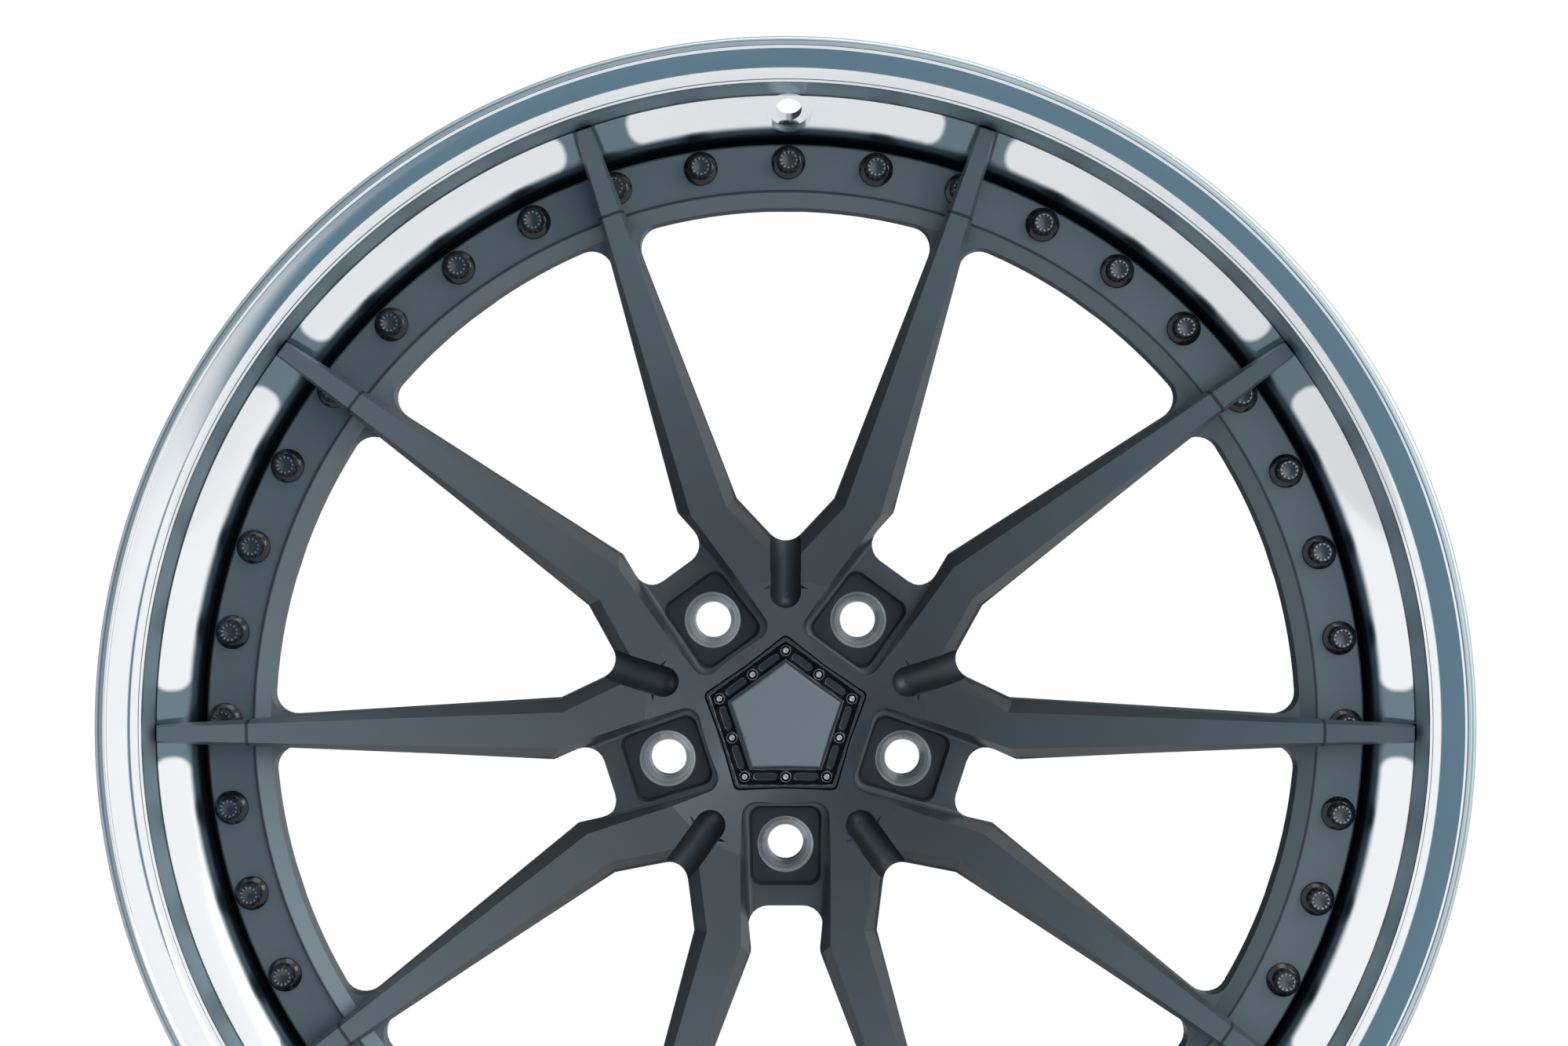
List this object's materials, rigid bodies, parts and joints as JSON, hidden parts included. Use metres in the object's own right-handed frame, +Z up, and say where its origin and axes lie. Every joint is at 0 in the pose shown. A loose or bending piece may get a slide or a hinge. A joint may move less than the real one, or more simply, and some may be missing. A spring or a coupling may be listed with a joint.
{
  "type": "split rim wheel",
  "caption": "Multi-piece alloy car wheel: a forged centre of paired spokes bolted with a ring of small bolts to a polished stepped outer lip and an inner barrel, with a five sided centre cap.",
  "frame": {"origin": "on the axle, at the rim's middle plane, halfway between the outer edges of the two flanges", "axes": "+Y along the axle towards the car, so the wheel's face looks along -Y; +Z up, through the valve hole; +X to the right as the face is seen"},
  "size_m": [0.5936, 0.254, 0.5936],
  "materials": {
    "satin_grey": "satin powder coat on forged aluminium, lug seats bare",
    "polished_lip": "polished and clear coated",
    "barrel_grey": "satin anodised",
    "black_bolts": "gloss black",
    "plain_steel": "zinc plated",
    "sealant": "cured silicone bead",
    "cap_plastic": "moulded, matt",
    "cap_black": "satin black anodised",
    "cap_grey": "satin grey",
    "seal_rubber": "moulded ring",
    "bright_screw": "bright turned heads"
  },
  "bodies": {
    "root": {"wheel_centre": "satin_grey", "outer_lip": "polished_lip", "inner_barrel": "barrel_grey", "assembly_bolts": "black_bolts", "assembly_nuts": "plain_steel", "nut_washers": "plain_steel", "rim_sealant": "sealant", "cap_base": "cap_plastic", "cap_frame": "cap_black", "cap_plate": "cap_grey", "cap_o_ring": "seal_rubber", "cap_wire_ring": "plain_steel", "cap_screw_1": "bright_screw", "cap_screw_2": "bright_screw", "cap_screw_3": "bright_screw", "cap_screw_4": "bright_screw", "cap_screw_5": "bright_screw", "cap_screw_6": "bright_screw", "cap_screw_7": "bright_screw", "cap_screw_8": "bright_screw", "cap_screw_9": "bright_screw", "cap_screw_10": "bright_screw"}
  },
  "joints": []
}
